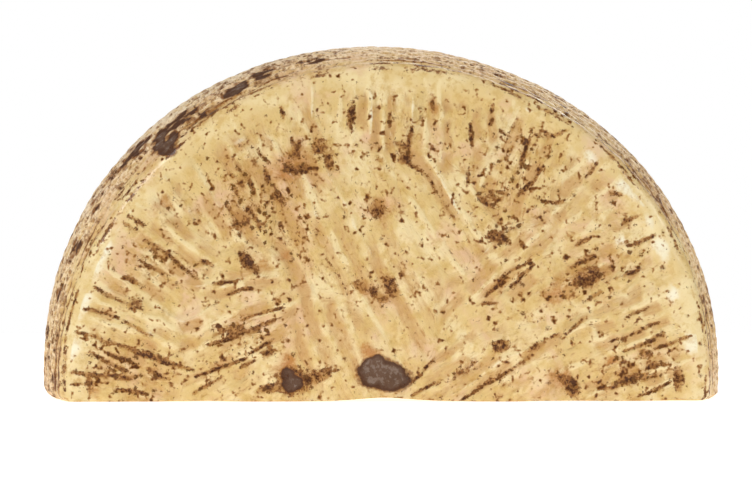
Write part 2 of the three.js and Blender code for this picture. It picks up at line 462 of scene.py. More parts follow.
def face_points(sizes, columns, side):
    """One flat face: each grid point lies at reach * edge(share), measured from the middle of the cut."""
    radius, axial, _, _ = section(sizes)
    row = 0 if side < 0 else -1
    reach, share = half_disc(columns)
    edge, _ = round_the_rim(sizes, np.full(share.shape, radius[row]), axial[row], share)
    points = edge * reach[..., None]
    points[..., 1] = axial[row]
    inset = (1 - reach) * np.hypot(edge[..., 0], edge[..., 2])
    return points, inset


def strokes(x, z, table, width):
    """Soft lines: the largest of strength * exp(-(distance to the line / width)^2), thinner at their ends."""
    mask = np.zeros(len(x))
    for x0, z0, x1, z1, strength in table:
        along_x, along_z = (x1 - x0) * MM, (z1 - z0) * MM
        square = along_x**2 + along_z**2
        t = np.clip(((x - x0 * MM) * along_x + (z - z0 * MM) * along_z) / square, 0, 1)
        distance = np.hypot(x - x0 * MM - t * along_x, z - z0 * MM - t * along_z)
        taper = 0.75 + 0.25 * np.sin(math.pi * t)
        mask = np.maximum(mask, strength * np.exp(-((distance / (width * taper)) ** 2)))
    return mask


def patches(x, z, table, flatness=2):
    """Ovals: the largest of strength * exp(-(the distance in half sizes)^flatness)."""
    mask = np.zeros(len(x))
    for mid_x, mid_z, half_length, half_width, slope, strength in table:
        u, v = turned(x - mid_x * MM, z - mid_z * MM, slope)
        away = np.hypot(u / (half_length * MM), v / (half_width * MM))
        mask = np.maximum(mask, strength * np.exp(-(away**flatness)))
    return mask


def hank_shares(x, z, hanks):
    """How far each bundle of rushes rules each point: a bell exp(-3 (u^2 + v^2)) in half sizes, to the
    third power, shared out so that the bundles add up to 1."""
    bells = []
    for mid_x, mid_z, slope, half_length, half_width, _, _ in hanks:
        u, v = turned(x - mid_x * MM, z - mid_z * MM, slope)
        bells.append(-3 * ((u / (half_length * MM)) ** 2 + (v / (half_width * MM)) ** 2))
    power = 3 * np.array(bells)
    power = np.exp(power - power.max(axis=0))
    return power / power.sum(axis=0)


def pressed_rushes(x, z, points, hanks):
    """Marks of the rush bundles, as a depth around 0.5, and the tone of the pressed panels from 0 to 1.

    Where two rushes met there is a groove, or a thin fin of curd squeezed up between them: a bell
    exp(-(d / width)^2) of the distance d from their meeting line, times a height of its own from -0.9 to 1.
    Ties across the rushes break each bed into panels. A panel's edge rises over the first third of a
    rush's width, each has its own depth and tone, and the lines bend slowly.
    Also gives the distances along and across the rushes, and how clearly a single bundle rules, 0 to 1.
    """
    shares = hank_shares(x, z, hanks)
    bend = 1.6 * MM * lattice_noise(points, 26 * MM, HANK_SEED)
    random = np.random.default_rng(HANK_SEED)
    depth, tone, along, across = np.zeros((4, len(x)))
    for share, (mid_x, mid_z, slope, _, _, spacing, ties) in zip(shares, hanks):
        phases, lines, lengths = random.uniform(0, 1, (3, 64))
        panels = random.uniform(0, 1, (64, 64))
        u, v = turned(x - mid_x * MM, z - mid_z * MM, slope)
        place = (v + bend) / (spacing * MM)
        bed = np.floor(place).astype(int) % 64
        line = np.round(place).astype(int) % 64
        lengthways = u / ((0.7 + 0.6 * lengths[bed]) * ties * MM) + phases[bed]
        panel = rise(panels[bed, np.floor(lengthways).astype(int) % 64], 0.2, 0.8)
        off_line = np.abs(place - np.round(place))
        off_tie = np.abs(lengthways - np.round(lengthways))
        panel *= rise(off_line, 0.04, 0.34) * rise(off_tie, 0.0, 0.2)
        fades = 0.5 - 0.5 * np.cos(2 * math.pi * (u / (31 * MM) + phases[line]))
        meeting = (1.9 * lines[line] - 0.9) * fades * np.exp(-((off_line * spacing / 1.05) ** 2))
        depth += share * (0.3 + meeting + 0.45 * panel)
        tone += share * panel
        along += share * u
        across += share * (v + bend)
    return depth, tone, along, across, rise(shares.max(axis=0), 0.5, 0.9)


def scattered_grooves(hanks, radius, seed):
    """Short faint grooves strewn over a face, each along the bundle that rules its middle."""
    random = np.random.default_rng(seed)
    reach = radius * np.sqrt(random.uniform(0.01, 0.85, SCATTERED_GROOVES)) / MM
    angle = random.uniform(0.03, math.pi - 0.03, SCATTERED_GROOVES)
    mid_x, mid_z = reach * np.cos(angle), reach * np.sin(angle)
    ruler = hank_shares(mid_x * MM, mid_z * MM, hanks).argmax(axis=0)
    slope = np.radians(np.array([hank[2] for hank in hanks])[ruler] + random.normal(0, 7, SCATTERED_GROOVES))
    half = random.uniform(0.8, 5.0, SCATTERED_GROOVES)
    dark = random.uniform(0.15, 0.75, SCATTERED_GROOVES) ** 1.1
    step_x, step_z = half * np.cos(slope), half * np.sin(slope)
    return np.stack([mid_x - step_x, mid_z - step_z, mid_x + step_x, mid_z + step_z, dark], axis=1)


def edge_lumps(points):
    """Lumps of the unpressed edge between a face and the rim, as a depth from 0 to about 0.9."""
    return 0.45 + 0.45 * rough_noise(points, 11 * MM, 83, octaves=2)


def dents(points, seed):
    """Broad and fine dents of a face, as a depth around 0."""
    return 0.35 * rough_noise(points, 18 * MM, seed) + 0.55 * rough_noise(points, 6 * MM, seed + 2, octaves=2)


def front_marks(sizes, points, inset):
    """Depth of each point of the front face in metres, and its finish.

    The depth is 0.45 for a pressed face, plus what rushes, mould's grooves and dents press in, less what fins
    and knobs stand proud, all times the groove depth. The finish says how tan, mouldy, rusty, grey, dirty,
    proud and waxy the point is, how strongly it was pressed, and where it lies along and across the rushes.
    The proud and waxy shares also paint highlights in cream and a pale, waxen colour on fins, knobs, rib
    crests and the smooth edge, and near the base more dirt and a thin line of mould along the cut paint shade.
    """
    x = points[:, 0] + 0.7 * MM * lattice_noise(points, 5 * MM, 31)
    z = points[:, 2] + 0.7 * MM * lattice_noise(points, 5 * MM, 37)
    ribs, tone, along, across, clear = pressed_rushes(x, z, points, HANKS)
    named = strokes(x, z, itertools.chain(*DARK_GROOVES.values()), 1.0 * MM)
    strewn = strokes(x, z, scattered_grooves(HANKS, sizes.radius, GROOVE_SEED), 1.05 * MM)
    faint = strokes(x, z, FAINT_LINES, 0.8 * MM)
    ridges = strokes(x, z, RIDGES, 0.9 * MM)
    knobs = patches(x, z, KNOBS)
    grey = patches(x, z, GREY_PATCHES, flatness=4)
    brown = patches(x, z, BROWN_PATCHES, flatness=3)
    # Near the base the dirt share rises, painted shade that darkens the bottom of the face, and the tan fades.
    # A thin brown line along the cut is a painted contact shadow.
    low = np.exp(-points[:, 2] / (9 * MM))
    dirt = np.maximum(patches(x, z, DIRTY_STRETCHES), 0.2 * low)
    cut_edge_shade = 0.3 * np.exp(-points[:, 2] / (0.8 * MM))

    pressed = rise(inset + 1.5 * MM * lattice_noise(points, 14 * MM, 41), 1.5 * MM, 9 * MM)
    depth = pressed * (0.45 + 0.9 * ribs + 0.6 * named + 0.3 * (strewn + faint + grey) + dents(points, 43))
    depth += (1 - pressed) * edge_lumps(points) - 0.9 * (ridges + knobs)
    strewn *= (0.35 + 0.65 * dirt) * rise(inset, 4 * MM, 10 * MM)
    return {
        "depth": sizes.groove_depth * np.clip(depth, 0, 2),
        "tone": tone * rise(inset, 3 * MM, 12 * MM) * (1 - 0.6 * low),
        # The mould share also carries the painted contact shadow along the cut.
        "mould": np.maximum.reduce([1.15 * named, strewn, faint, brown, cut_edge_shade]),
        "rust": patches(x, z, RUST_PATCHES),
        "grey": grey,
        "dirt": dirt * rise(inset, 1 * MM, 8 * MM),
        # The next two shares paint highlights: cream on proud points, fins, knobs and the smooth edge, partly
        # paler rind, and a pale, waxen colour on knobs and fins.
        "crest": np.clip(np.maximum.reduce([ridges, knobs, 1.05 - 2.2 * ribs, 0.6 * (1 - pressed)]), 0, 1),
        "wax_and_highlight": np.maximum(knobs, 0.65 * ridges),
        "pressed": pressed * clear,
        "along": along,
        "across": across,
    }


def back_marks(sizes, points, inset):
    """The same for the back face, which has the bundles mirrored and mould strewn of its own."""
    hanks = [(-mid_x, mid_z, -slope, *rest) for mid_x, mid_z, slope, *rest in HANKS]
    x, z = points[:, 0], points[:, 2]
    ribs, tone, along, across, clear = pressed_rushes(x, z, points, hanks)
    strewn = strokes(x, z, scattered_grooves(hanks, sizes.radius, GROOVE_SEED + 1), 1.2 * MM)
    more = strokes(x, z, scattered_grooves(hanks, sizes.radius, GROOVE_SEED + 2), 1.5 * MM)
    blotches = rough_noise(points, 26 * MM, 47)
    dirt = rise(rough_noise(points, 34 * MM, 49), -0.25, 0.35)
    pressed = rise(inset, 1.5 * MM, 9 * MM)
    depth = pressed * (0.45 + 0.9 * ribs + 0.6 * more + dents(points, 44))
    depth += (1 - pressed) * edge_lumps(points)
    return {
        "depth": sizes.groove_depth * np.clip(depth, 0, 2),
        "tone": tone * rise(inset, 3 * MM, 12 * MM),
        "mould": np.maximum(strewn, 1.35 * more) * (0.45 + 0.55 * dirt) * rise(inset, 4 * MM, 10 * MM),
        "rust": 0.7 * rise(blotches, 0.25, 0.7),
        "grey": 0.7 * rise(-blotches, 0.42, 0.65) * (1 + 0.9 * rough_noise(points, 6 * MM, 89, octaves=2)),
        "dirt": dirt,
        # The next two shares paint highlights: cream on rib crests and the smooth edge, partly paler rind, and
        # pale spots by the edge.
        "crest": np.clip(np.maximum(0.9 - 2 * ribs, 0.7 * (1 - pressed)), 0, 1),
        "wax_and_highlight": rise(lattice_noise(points, 7 * MM, 61), 0.55, 0.8) * (1 - rise(inset, 9 * MM, 14 * MM)),
        "pressed": pressed * clear,
        "along": along,
        "across": across,
    }


def rim_marks(sizes, points, around, travelled, angle, width):
    """Depth in metres and finish of each point of the rim, from its distance round and across the rim.

    Plaited bands run round the rim: each is crowned, with |2v|^3 of the distance v from its middle, in
    bands. Stakes lift every other stretch of a band, and the stretches in between on the bands beside it.
    The finish adds how dusty the point is, a bell round the rim's fullest part at the upper left, and how
    far it is rim rather than the smooth edge of a face.
    """
    wander = 0.22 * lattice_noise(points, 34 * MM, 53)
    row_place = travelled / sizes.row_spacing + wander
    row = np.floor(row_place)
    off_middle = 2 * np.abs(row_place - row - 0.5)
    weave = 0.5 - 0.5 * np.cos(2 * math.pi * (around / sizes.stake_spacing + row / 2))
    clumps = rough_noise(points, 20 * MM, 67)
    from_edge = np.minimum(travelled, width - travelled)
    pressed = rise(from_edge, 4 * MM, 13 * MM)
    depth = pressed * (0.15 + 0.7 * off_middle**3 + 0.45 * weave + 0.4 * rough_noise(points, 9 * MM, 59))
    edge = (1 - pressed) * edge_lumps(points)
    near_face = 1 - rise(from_edge + 6 * MM * lattice_noise(points, 12 * MM, 75), 4 * MM, 23 * MM)

    off_seams = travelled - np.array(RIM_SEAMS)[:, None] * MM + 1.2 * MM * lattice_noise(points, 16 * MM, 71)
    seams = np.exp(-((off_seams / (0.9 * MM)) ** 2)).max(axis=0)
    seams *= rise(lattice_noise(points, 9 * MM, 73), -0.35, 0.35)

    grey = np.zeros(len(points))
    for middle, across, half_length, half_width, strength in RIM_PATCHES:
        u = (angle - math.radians(middle)) * sizes.radius / (half_length * MM)
        v = (travelled - across * MM) / (half_width * MM)
        grey = np.maximum(grey, strength * np.exp(-((u * u + v * v) ** 1.5)))
    grey *= 1 + 0.9 * rough_noise(points, 5 * MM, 79, octaves=2)
    off_dust_across = (travelled / width - DUST_ACROSS) / DUST_SPREAD_ACROSS
    off_dust_round = (angle - DUST_ROUND) / DUST_SPREAD_ROUND
    return {
        "depth": sizes.rim_depth * np.clip(depth, 0, 2) + sizes.groove_depth * edge,
        "tone": np.clip(0.45 + 0.5 * clumps + 0.3 * weave, 0, 1) * (1 - near_face),
        "mould": 0.95 * seams,
        "rust": 0.4 * rise(clumps, 0.35, 0.7),
        "grey": grey,
        "dirt": np.clip(0.5 + 0.8 * clumps, 0, 1) * rise(from_edge, 2 * MM, 7 * MM),
        # Cream on the smooth edge next to the face: a painted highlight, partly paler rind.
        "crest": 0.6 * near_face * (1 - pressed),
        "along": around,
        "across": travelled + wander * sizes.row_spacing,
        "dust": np.exp(-(off_dust_across**2) - off_dust_round**2),
        "rim": 1 - near_face,
    }


def quads(grid, flip=False):
    """The four-sided faces of a grid of vertex numbers."""
    corners = [grid[:-1, :-1], grid[:-1, 1:], grid[1:, 1:], grid[1:, :-1]]
    if flip:
        corners.reverse()
    return np.stack(corners, axis=-1).reshape(-1, 4)


def stitch(fine, coarse):
    """Triangles between a row of vertices and one with half as many steps."""
    left, middle, right = fine[:-1:2], fine[1::2], fine[2::2]
    near, far = coarse[:-1], coarse[1:]
    triangles = [(left, near, middle), (middle, near, far), (middle, far, right)]
    return np.concatenate([np.stack(corners, axis=-1) for corners in triangles])


def cut_faces(outline, points, first_new):
    """The knife's cut: triangles over the outline and a grid of new points inside it, facing down."""
    loop = points[outline][:, :2]
    low, high = loop.min(axis=0), loop.max(axis=0)
    across = [np.arange(low[i] + CUT_SPACING / 2, high[i], CUT_SPACING) for i in (0, 1)]
    inner = np.stack(np.meshgrid(*across), axis=-1).reshape(-1, 2)
    nearest = np.hypot(inner[:, None, 0] - loop[:, 0], inner[:, None, 1] - loop[:, 1]).min(axis=1)
    inner = inner[nearest > CUT_SPACING * 0.6]
    flat = [Vector(p) for p in np.concatenate([loop, inner]).tolist()]
    edges = [(i, (i + 1) % len(loop)) for i in range(len(loop))]
    _, _, triangles, origins, _, _ = delaunay_2d_cdt(flat, edges, [], 1, 1e-7)
    numbers = np.concatenate([outline, first_new + np.arange(len(inner))])
    kept = np.array([origin[0] for origin in origins])
    faces = numbers[kept[np.array(triangles)]][:, ::-1]
    new_points = np.column_stack([inner, np.zeros(len(inner))])
    return new_points, faces


def wheel_surface(sizes):
    """The whole closed surface: its points, its faces, the number of rind faces, and the finish per point.

    Each point of the faces and the rim moves inwards by its depth, square to the smooth surface. The outline
    of the cut stays at z = 0 until the cut is hollowed: z rises by hollow * exp(-z / 5 mm).
    """
    radius, axial, facing, travelled = section(sizes)
    front, front_inset = face_points(sizes, FRONT_COLUMNS, -1)
    back, back_inset = face_points(sizes, BACK_COLUMNS, 1)
    share = np.linspace(0, 1, ROUND_STEPS + 1)[None, :]
    rim, angle = round_the_rim(sizes, radius[1:-1, None], axial[1:-1, None], share)
    rows, columns = angle.shape
    distance = np.broadcast_to(travelled[1:-1, None], angle.shape)
    out, along_axis = np.cos(facing[1:-1, None]), np.sin(facing[1:-1, None])
    into_rim = -np.stack([out * np.cos(angle), along_axis + 0 * angle, out * np.sin(angle)], axis=-1)

    sheets = [sheet.reshape(-1, 3) for sheet in (front, rim, back)]
    around = (angle * sizes.radius).ravel()
    marks = [
        front_marks(sizes, sheets[0], front_inset.ravel()),
        rim_marks(sizes, sheets[1], around, distance.ravel(), angle.ravel(), travelled[-1]),
        back_marks(sizes, sheets[2], back_inset.ravel()),
    ]
    finish = {
        name: np.concatenate([mark.get(name, np.zeros(len(sheet))) for mark, sheet in zip(marks, sheets)])
        for name in ("depth", *FINISHES)
    }
    points = np.concatenate(sheets)
    into_front = np.broadcast_to((0, 1, 0), sheets[0].shape)
    into_back = np.broadcast_to((0, -1, 0), sheets[2].shape)
    inwards = np.concatenate([into_front, into_rim.reshape(-1, 3), into_back])
    on_cut = points[:, 2] <= 1e-9
    points = points + inwards * finish.pop("depth")[:, None]
    points[on_cut, 2] = 0

    front_grid = np.arange(front.size // 3).reshape(front.shape[:2])
    rim_grid = front_grid.size + np.arange(rows * columns).reshape(rows, columns)
    back_grid = front_grid.size + rim_grid.size + np.arange(back.size // 3).reshape(back.shape[:2])
    rim_and_back = np.concatenate([rim_grid, loop_of(back_grid)[None, :]])
    rind = [
        quads(front_grid), stitch(loop_of(front_grid), rim_grid[0]), quads(rim_and_back, flip=True),
        quads(back_grid, flip=True),
    ]
    outline = np.concatenate([front_grid[0], rim_grid[:, 0], back_grid[0, ::-1], rim_grid[::-1, -1]])
    inner, cut = cut_faces(outline, points, len(points))
    points = np.concatenate([points, inner])
    finish = {key: np.concatenate([values, np.zeros(len(inner))]) for key, values in finish.items()}

    # The hollow wanders all over the cut, and an arch 15 mm to each side lifts it at the front, in the middle.
    hollow = 0.25 + 0.25 * lattice_noise(points * (1, 1, 0), 26 * MM, HOLLOW_SEED)
    hollow += np.exp(-(((points[:, 0] - 1 * MM) / (15 * MM)) ** 2)) * rise(-points[:, 1], -20 * MM, 50 * MM)
    points[:, 2] += sizes.cut_rise * hollow * np.exp(-points[:, 2] / (5 * MM))
    rind_faces = [face for part in rind for face in part.tolist()]
    return worn_corners(sizes, points), rind_faces + cut.tolist(), len(rind_faces), finish


def worn_corners(sizes, points):
    """The two ends of the cut, worn round: x moves in by run * (1 - sqrt(1 - (1 - z / rise)^2)), a quarter
    of an ellipse, fading out over the 16 mm inside the end."""
    x, z = points[:, 0], points[:, 2]
    below = np.clip(1 - z / np.where(x < 0, WORN_LEFT, WORN_RIGHT), 0, 1)
    near_end = rise(np.abs(x), sizes.radius - 22 * MM, sizes.radius - 6 * MM)
    inwards = WORN_RUN * (1 - np.sqrt(1 - below**2)) * near_end
    return np.column_stack([x + np.where(x < 0, inwards, -inwards), points[:, 1:]])


def fitted(points, low, high):
    """The points moved and stretched a little so that their box is the one from low to high:
    low + (point - least) * (high - low) / (most - least)."""
    least, most = points.min(axis=0), points.max(axis=0)
    return np.array(low) + (points - least) * (np.array(high) - np.array(low)) / (most - least)


def new_piece(name, points, faces, materials):
    """A mesh object at the origin, smooth, with the given materials."""
    mesh = bpy.data.meshes.new(name)
    mesh.from_pydata(points.tolist(), [], faces)
    mesh.validate()
    mesh.polygons.foreach_set("use_smooth", np.ones(len(mesh.polygons), dtype=bool))
    for material in materials:
        mesh.materials.append(material)
    piece = bpy.data.objects.new(name, mesh)
    bpy.context.scene.collection.objects.link(piece)
    return piece


def add_node(tree, kind, *ordered, named=None, output=0, **settings):
    """Adds a shader node with its settings, gives its inputs values or links, in order or by name or number,
    and returns one of its outputs."""
    node = tree.nodes.new("ShaderNode" + kind)
    for name, value in settings.items():
        setattr(node, name, value)
    for place, value in {**dict(enumerate(ordered)), **(named or {})}.items():
        if isinstance(value, bpy.types.NodeSocket):
            tree.links.new(value, node.inputs[place])
        else:
            node.inputs[place].default_value = value
    return node.outputs[output] if len(node.outputs) else None


def new_material(name):
    """An empty material, and the function that adds a node to it."""
    material = bpy.data.materials.new(name)
    material.use_nodes = True
    material.node_tree.nodes.clear()
    return material, functools.partial(add_node, material.node_tree)


def weighted(add, start, *terms):
    """The start plus each term's value times its weight. All are numbers or nodes' outputs."""
    for value, weight in terms:
        start = add("Math", value, weight, start, operation="MULTIPLY_ADD")
    return start


def coats(add, under, value, *layers, within=None):
    """Colours laid one over another: each covers nothing where the value is below low, and its share above
    high, by 3t^2 - 2t^3 in between, times what `within` gives."""
    for colour, low, high, share in layers:
        cover = add("MapRange", value, low, high, 0, share, **SMOOTH)
        if within is not None:
            cover = add("Math", cover, within, operation="MULTIPLY")
        under = add("Mix", named={0: cover, 6: under, 7: colour}, **COLOUR_MIX)
    return under


def oiled_rind(colours, row_spacing):
    """Natural cheese rind pressed in a rush basket, brined, dried and rubbed with oil.

    The eye sees a waxy straw skin with tan strips where rushes lay, a duller, woven beige rim, and brown
    mould broken into specks along the grooves. The oil gives soft, bright glints on the ribs' shoulders, and
    cream and a pale, waxen colour paint highlights on the rib crests, fins, knobs and smooth edges.
    """
    material, add = new_material("oiled_rush_pressed_rind")
    place = add("TexCoord", output="Object")
    at = SimpleNamespace(**{name: add("Attribute", output="Fac", attribute_name=name) for name in FINISHES})

    # Fibres lie along the rushes, 3 times as long as wide, and flecks stand across the rim, 2.7 times.
    fibre_place = add("CombineXYZ", add("Math", at.along, 3, operation="DIVIDE"), at.across)
    fleck_place = add("CombineXYZ", at.along, add("Math", at.across, 2.7, operation="DIVIDE"))
    noise = SimpleNamespace()
    for name, where, size, detail, roughness in (
        # the size of its lumps is in mm
        ("curd", place, 12, 4, 0.6), ("grain", place, 3, 4, 0.65), ("clumps", place, 1.7, 3, 0.6),
        ("lumps", place, 6, 3, 0.5), ("flush", place, 26, 4, 0.65), ("cloud", place, 4, 5, 0.7),
        ("specks", place, 2.6, 1.5, 0.5), ("pores", place, 0.9, 3, 0.6),
        ("fibres", fibre_place, 2.2, 3, 0.65), ("flecks", fleck_place, 3.6, 4, 0.6),
        ("pebbles", fleck_place, 2, 3, 0.6),
    ):
        inputs = {"Vector": where, "Scale": 1 / (size * MM), "Detail": detail, "Roughness": roughness}
        setattr(noise, name, add("TexNoise", named=inputs))
    clumped = weighted(add, -0.5, (noise.clumps, 1))
    lumped = weighted(add, -0.5, (noise.lumps, 1))
    fibre_tone = add("Math", weighted(add, -0.5, (noise.fibres, 1)), at.pressed, operation="MULTIPLY")

    # Straw and cream curd, rosy in places, tan where a rush pressed it, with a mottling 3 to 12 mm across.
    rind = coats(add, colours.straw, noise.curd, (colours.cream, 0.4, 0.65, 1))
    rind = coats(add, rind, noise.flush, (colours.rosy, 0.5, 0.68, 0.8))
    tanned = weighted(add, -0.4, (at.tone, 0.6), (fibre_tone, 1.2), (noise.grain, 1), (at.dirt, 0.25))
    rind = coats(add, rind, tanned, (colours.tan, 0.05, 0.85, 0.95))
    # Cream on rib crests, fins, knobs and smooth edges: a painted highlight, partly paler rind.
    rind = coats(add, rind, at.crest, (colours.cream, 0.4, 0.9, 0.8))

    # A pale, waxen colour on the knobs and fins, broken up by lumps: a painted highlight, partly the knobs'
    # polish.
    waxy = add("MapRange", weighted(add, at.wax_and_highlight, (lumped, 1.2)), 0.3, 0.9, 0, 0.9, **SMOOTH)
    waxy = add("Math", waxy, add("MapRange", at.wax_and_highlight, 0.1, 0.3, 0, 1, **SMOOTH), operation="MULTIPLY")
    rind = add("Mix", named={0: waxy, 6: rind, 7: colours.wax_and_highlight}, **COLOUR_MIX)

    # Brown fibre marks, most of them in the dirty stretches.
    marked = weighted(add, 0, (fibre_tone, 2), (at.dirt, 0.16), (clumped, 0.8))
    rind = coats(add, rind, marked, (colours.soft_brown, 0.2, 0.5, 0.65))

    # The rim's plait: bands as wide as a woven row, whose strands slant one way and then the other.
    band = add("Math", at.across, row_spacing, operation="DIVIDE")
    slant = add("Math", band, 1, operation="PINGPONG")
    strand = weighted(add, 0, (at.along, 1 / STRAND_SPACING), (slant, 1.5), (noise.lumps, 2))
    plait = 0
    for place_in_turns, depth in ((strand, 0.5), (band, 0.6)):
        radians = add("Math", place_in_turns, 2 * math.pi, operation="MULTIPLY")
        plait = weighted(add, plait, (add("Math", radians, operation="COSINE"), depth))

    # Beige and tan pebbles, 2 mm along the rim, that follow the plait, with dust over the fullest part.
    pebbled = weighted(add, noise.pebbles, (plait, 0.09))
    rim_rind = coats(add, colours.rim_beige, pebbled, (colours.rim_tan, 0.36, 0.66, 1))
    rim_rind = coats(add, rim_rind, noise.flush, (colours.rosy, 0.48, 0.62, 0.3))
    rim_rind = coats(add, rim_rind, pebbled, (colours.soft_brown, 0.58, 0.76, 0.7))
    rim_rind = coats(add, rim_rind, at.dust, (colours.dust, 0.1, 1, 0.6))
    rind = add("Mix", named={0: at.rim, 6: rind, 7: rim_rind}, **COLOUR_MIX)

    # Ochre and rust stains with cloudy edges.
    yellowed = weighted(add, noise.cloud, (lumped, -0.5), (at.dirt, 0.07))
    rind = coats(add, rind, yellowed, (colours.ochre, 0.5, 0.68, 0.42))
    rusty = add("Math", at.rust, weighted(add, -0.3, (noise.cloud, 2.4)), operation="MULTIPLY")
    rind = coats(add, rind, rusty, (colours.rust, 0.15, 0.85, 0.8))

    # A brown stain round the mould and over the dirty stretches.
    stained = weighted(add, -1, (at.mould, 1), (at.dirt, 0.22), (noise.cloud, 2))
    rind = coats(add, rind, stained, (colours.soft_brown, 0.15, 0.9, 0.85))

    # Mould in a groove: thin brown, broken up by dark clumps 1 to 2 mm across.
    ragged_edge = add("MapRange", at.mould, 0.05, 0.4, 0, 3.2, **SMOOTH)
    grown = weighted(add, 0, (at.mould, weighted(add, 0.8, (lumped, 3.2))), (ragged_edge, clumped))
    rind = coats(add, rind, grown, (colours.brown, 0.3, 0.6, 0.85), (colours.dark_brown, 0.72, 0.98, 0.95))

    # Dark flecks on the rim.
    flecked = weighted(add, 0, (noise.flecks, 3), (noise.lumps, 1.5), (plait, 0.08), (at.dirt, 0.5))
    flecked = add("Math", flecked, add("MapRange", at.rim, 0, 0.35, 0, 1, **SMOOTH), operation="MULTIPLY")
    rind = coats(add, rind, flecked, (colours.brown, 2.5, 2.9, 0.7), (colours.dark_brown, 2.9, 3.15, 0.9))

    # Specks of mould, 1 to 2 mm across, gathered in clouds and in the dirty stretches.
    specked = weighted(add, noise.specks, (lumped, 0.5), (at.dirt, 0.095), (at.rim, -0.2))
    rind = coats(add, rind, specked, (colours.soft_brown, 0.61, 0.71, 0.75))
    rind = coats(add, rind, specked, (colours.brown, 0.675, 0.75, 0.9))
    rind = coats(add, rind, specked, (colours.dark_brown, 0.745, 0.8, 0.85))

    # Dots of mould with ragged edges, 0.5 to 2.5 mm across. Dirt and mould make them more frequent.
    ragged = add("TexNoise", named={"Vector": place, "Scale": 1 / (1.1 * MM), "Detail": 1}, output="Color")
    ragged = add("VectorMath", ragged, (0.5, 0.5, 0.5), operation="SUBTRACT")
    ragged = add("VectorMath", ragged, named={"Scale": 2.4 * MM}, operation="SCALE")
    dot_place = add("VectorMath", place, ragged)
    for spacing, everywhere, with_dirt, with_mould, largest in MOULD_DOTS:
        distance = add("TexVoronoi", named={"Vector": dot_place, "Scale": 1 / (spacing * MM)})
        chance = add("SeparateColor", distance.node.outputs["Color"])
        chance = weighted(add, chance, (at.dirt, with_dirt), (at.mould, with_mould))
        least = add("MapRange", chance, 1 - everywhere, 1.02 - everywhere, 0, SMALLEST_DOT, **SMOOTH)
        more = add("MapRange", chance, 1 - everywhere, 1.25, 0, largest - SMALLEST_DOT, **SMOOTH)
        in_dot = weighted(add, -0.12, (least, 1), (more, 1), (distance, -1))
        rind = coats(add, rind, in_dot, (colours.brown, -0.14, 0.02, 0.5))
        rind = coats(add, rind, in_dot, (colours.olive_brown, -0.04, 0.08, 0.9))

    # Grey patches with dark, ragged edges, and mottled with pale spores inside.
    uneven = weighted(add, 0, (clumped, 0.5), (lumped, 1.6))
    grey = weighted(add, at.grey, (uneven, add("MapRange", at.grey, 0.02, 0.3, 0, 1, **SMOOTH)))
    rind = coats(add, rind, grey, (colours.brown, 0.15, 0.45, 0.8), (colours.grey_mould, 0.45, 0.6, 0.95))
    inside = add("MapRange", grey, 0.95, 1.25, 0, 1, **SMOOTH)
    rind = coats(add, rind, noise.clumps, (colours.pale_bloom, 0.5, 0.6, 0.6), within=inside)
    outside = add("MapRange", grey, 1.15, 0.7, 0, 1, **SMOOTH)
    rind = coats(add, rind, grey, (colours.dark_brown, 0.42, 0.6, 0.75), within=outside)

    # Oil shines on the crests and is dulled by mould and by the rim's rough plait.
    mouldy = add("MapRange", grown, 0.3, 0.9, 0, 0.28, **SMOOTH)
    dull = weighted(add, mouldy, (at.rim, 0.4), (at.crest, -0.2), (waxy, -0.15))
    roughness = add("Math", weighted(add, 0.22, (noise.grain, 0.22)), dull, use_clamp=True)

    # Curd grain 3 mm across, fibre marks and the plait's hollows, up to 0.4 mm deep, and pores. The pores are
    # drawn 0.9 mm across, about twice their real size, so that they show.
    hollows = add("Math", plait, at.rim, operation="MULTIPLY")
    eaten = add("MapRange", grown, 0.4, 0.9, 0, 0.35, **SMOOTH)
    skin = weighted(
        add, 0, (noise.pores, 0.3), (noise.grain, 0.6), (fibre_tone, -1.4), (eaten, -1), (hollows, -0.4)
    )
    shader = add("BsdfPrincipled", named={
        "Base Color": rind, "Roughness": roughness, "IOR": 1.46, "Coat Weight": 0.1, "Coat Roughness": 0.1,
        "Normal": add("Bump", named={"Height": skin, "Strength": 0.7, "Distance": 0.7 * MM}),
        "Specular IOR Level": 0.24, "Subsurface Weight": 0.03, "Subsurface Radius": (1.0, 0.7, 0.35),
        "Subsurface Scale": 1.0 * MM,
    })
    add("OutputMaterial", shader)
    return material


